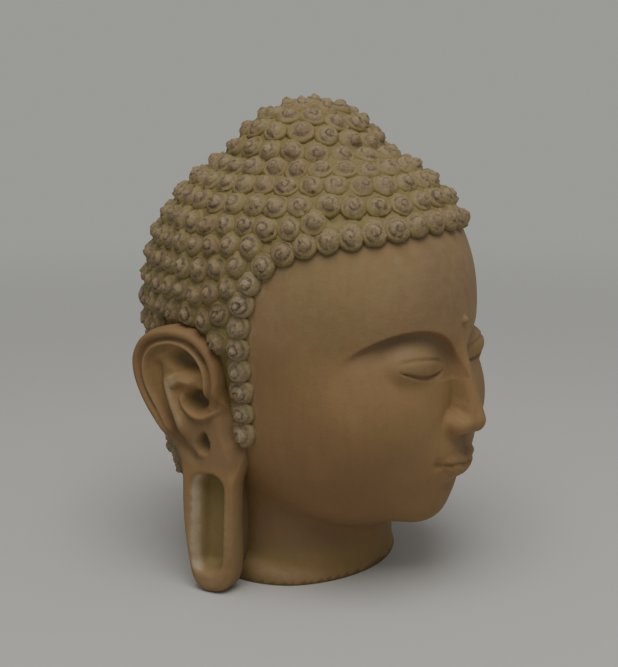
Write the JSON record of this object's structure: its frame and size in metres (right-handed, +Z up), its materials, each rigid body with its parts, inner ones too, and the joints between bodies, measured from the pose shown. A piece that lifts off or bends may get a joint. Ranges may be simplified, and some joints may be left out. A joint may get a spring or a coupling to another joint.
{
  "type": "buddha head",
  "caption": "Cast ornamental buddha head with snail curls, a low topknot and long slotted ear lobes, standing on its flat-cut neck.",
  "frame": {"origin": "under the middle of the head, on the surface that it stands on", "axes": "+Z up, the face towards -Y, the head's own right ear towards -X"},
  "size_m": [0.2024, 0.246, 0.3002],
  "materials": {
    "cast_stone": "matt brown cast stone, rubbed pale on the high places, with an olive wash in the hollows"
  },
  "bodies": {
    "root": {"buddha_head": "cast_stone"}
  },
  "joints": []
}
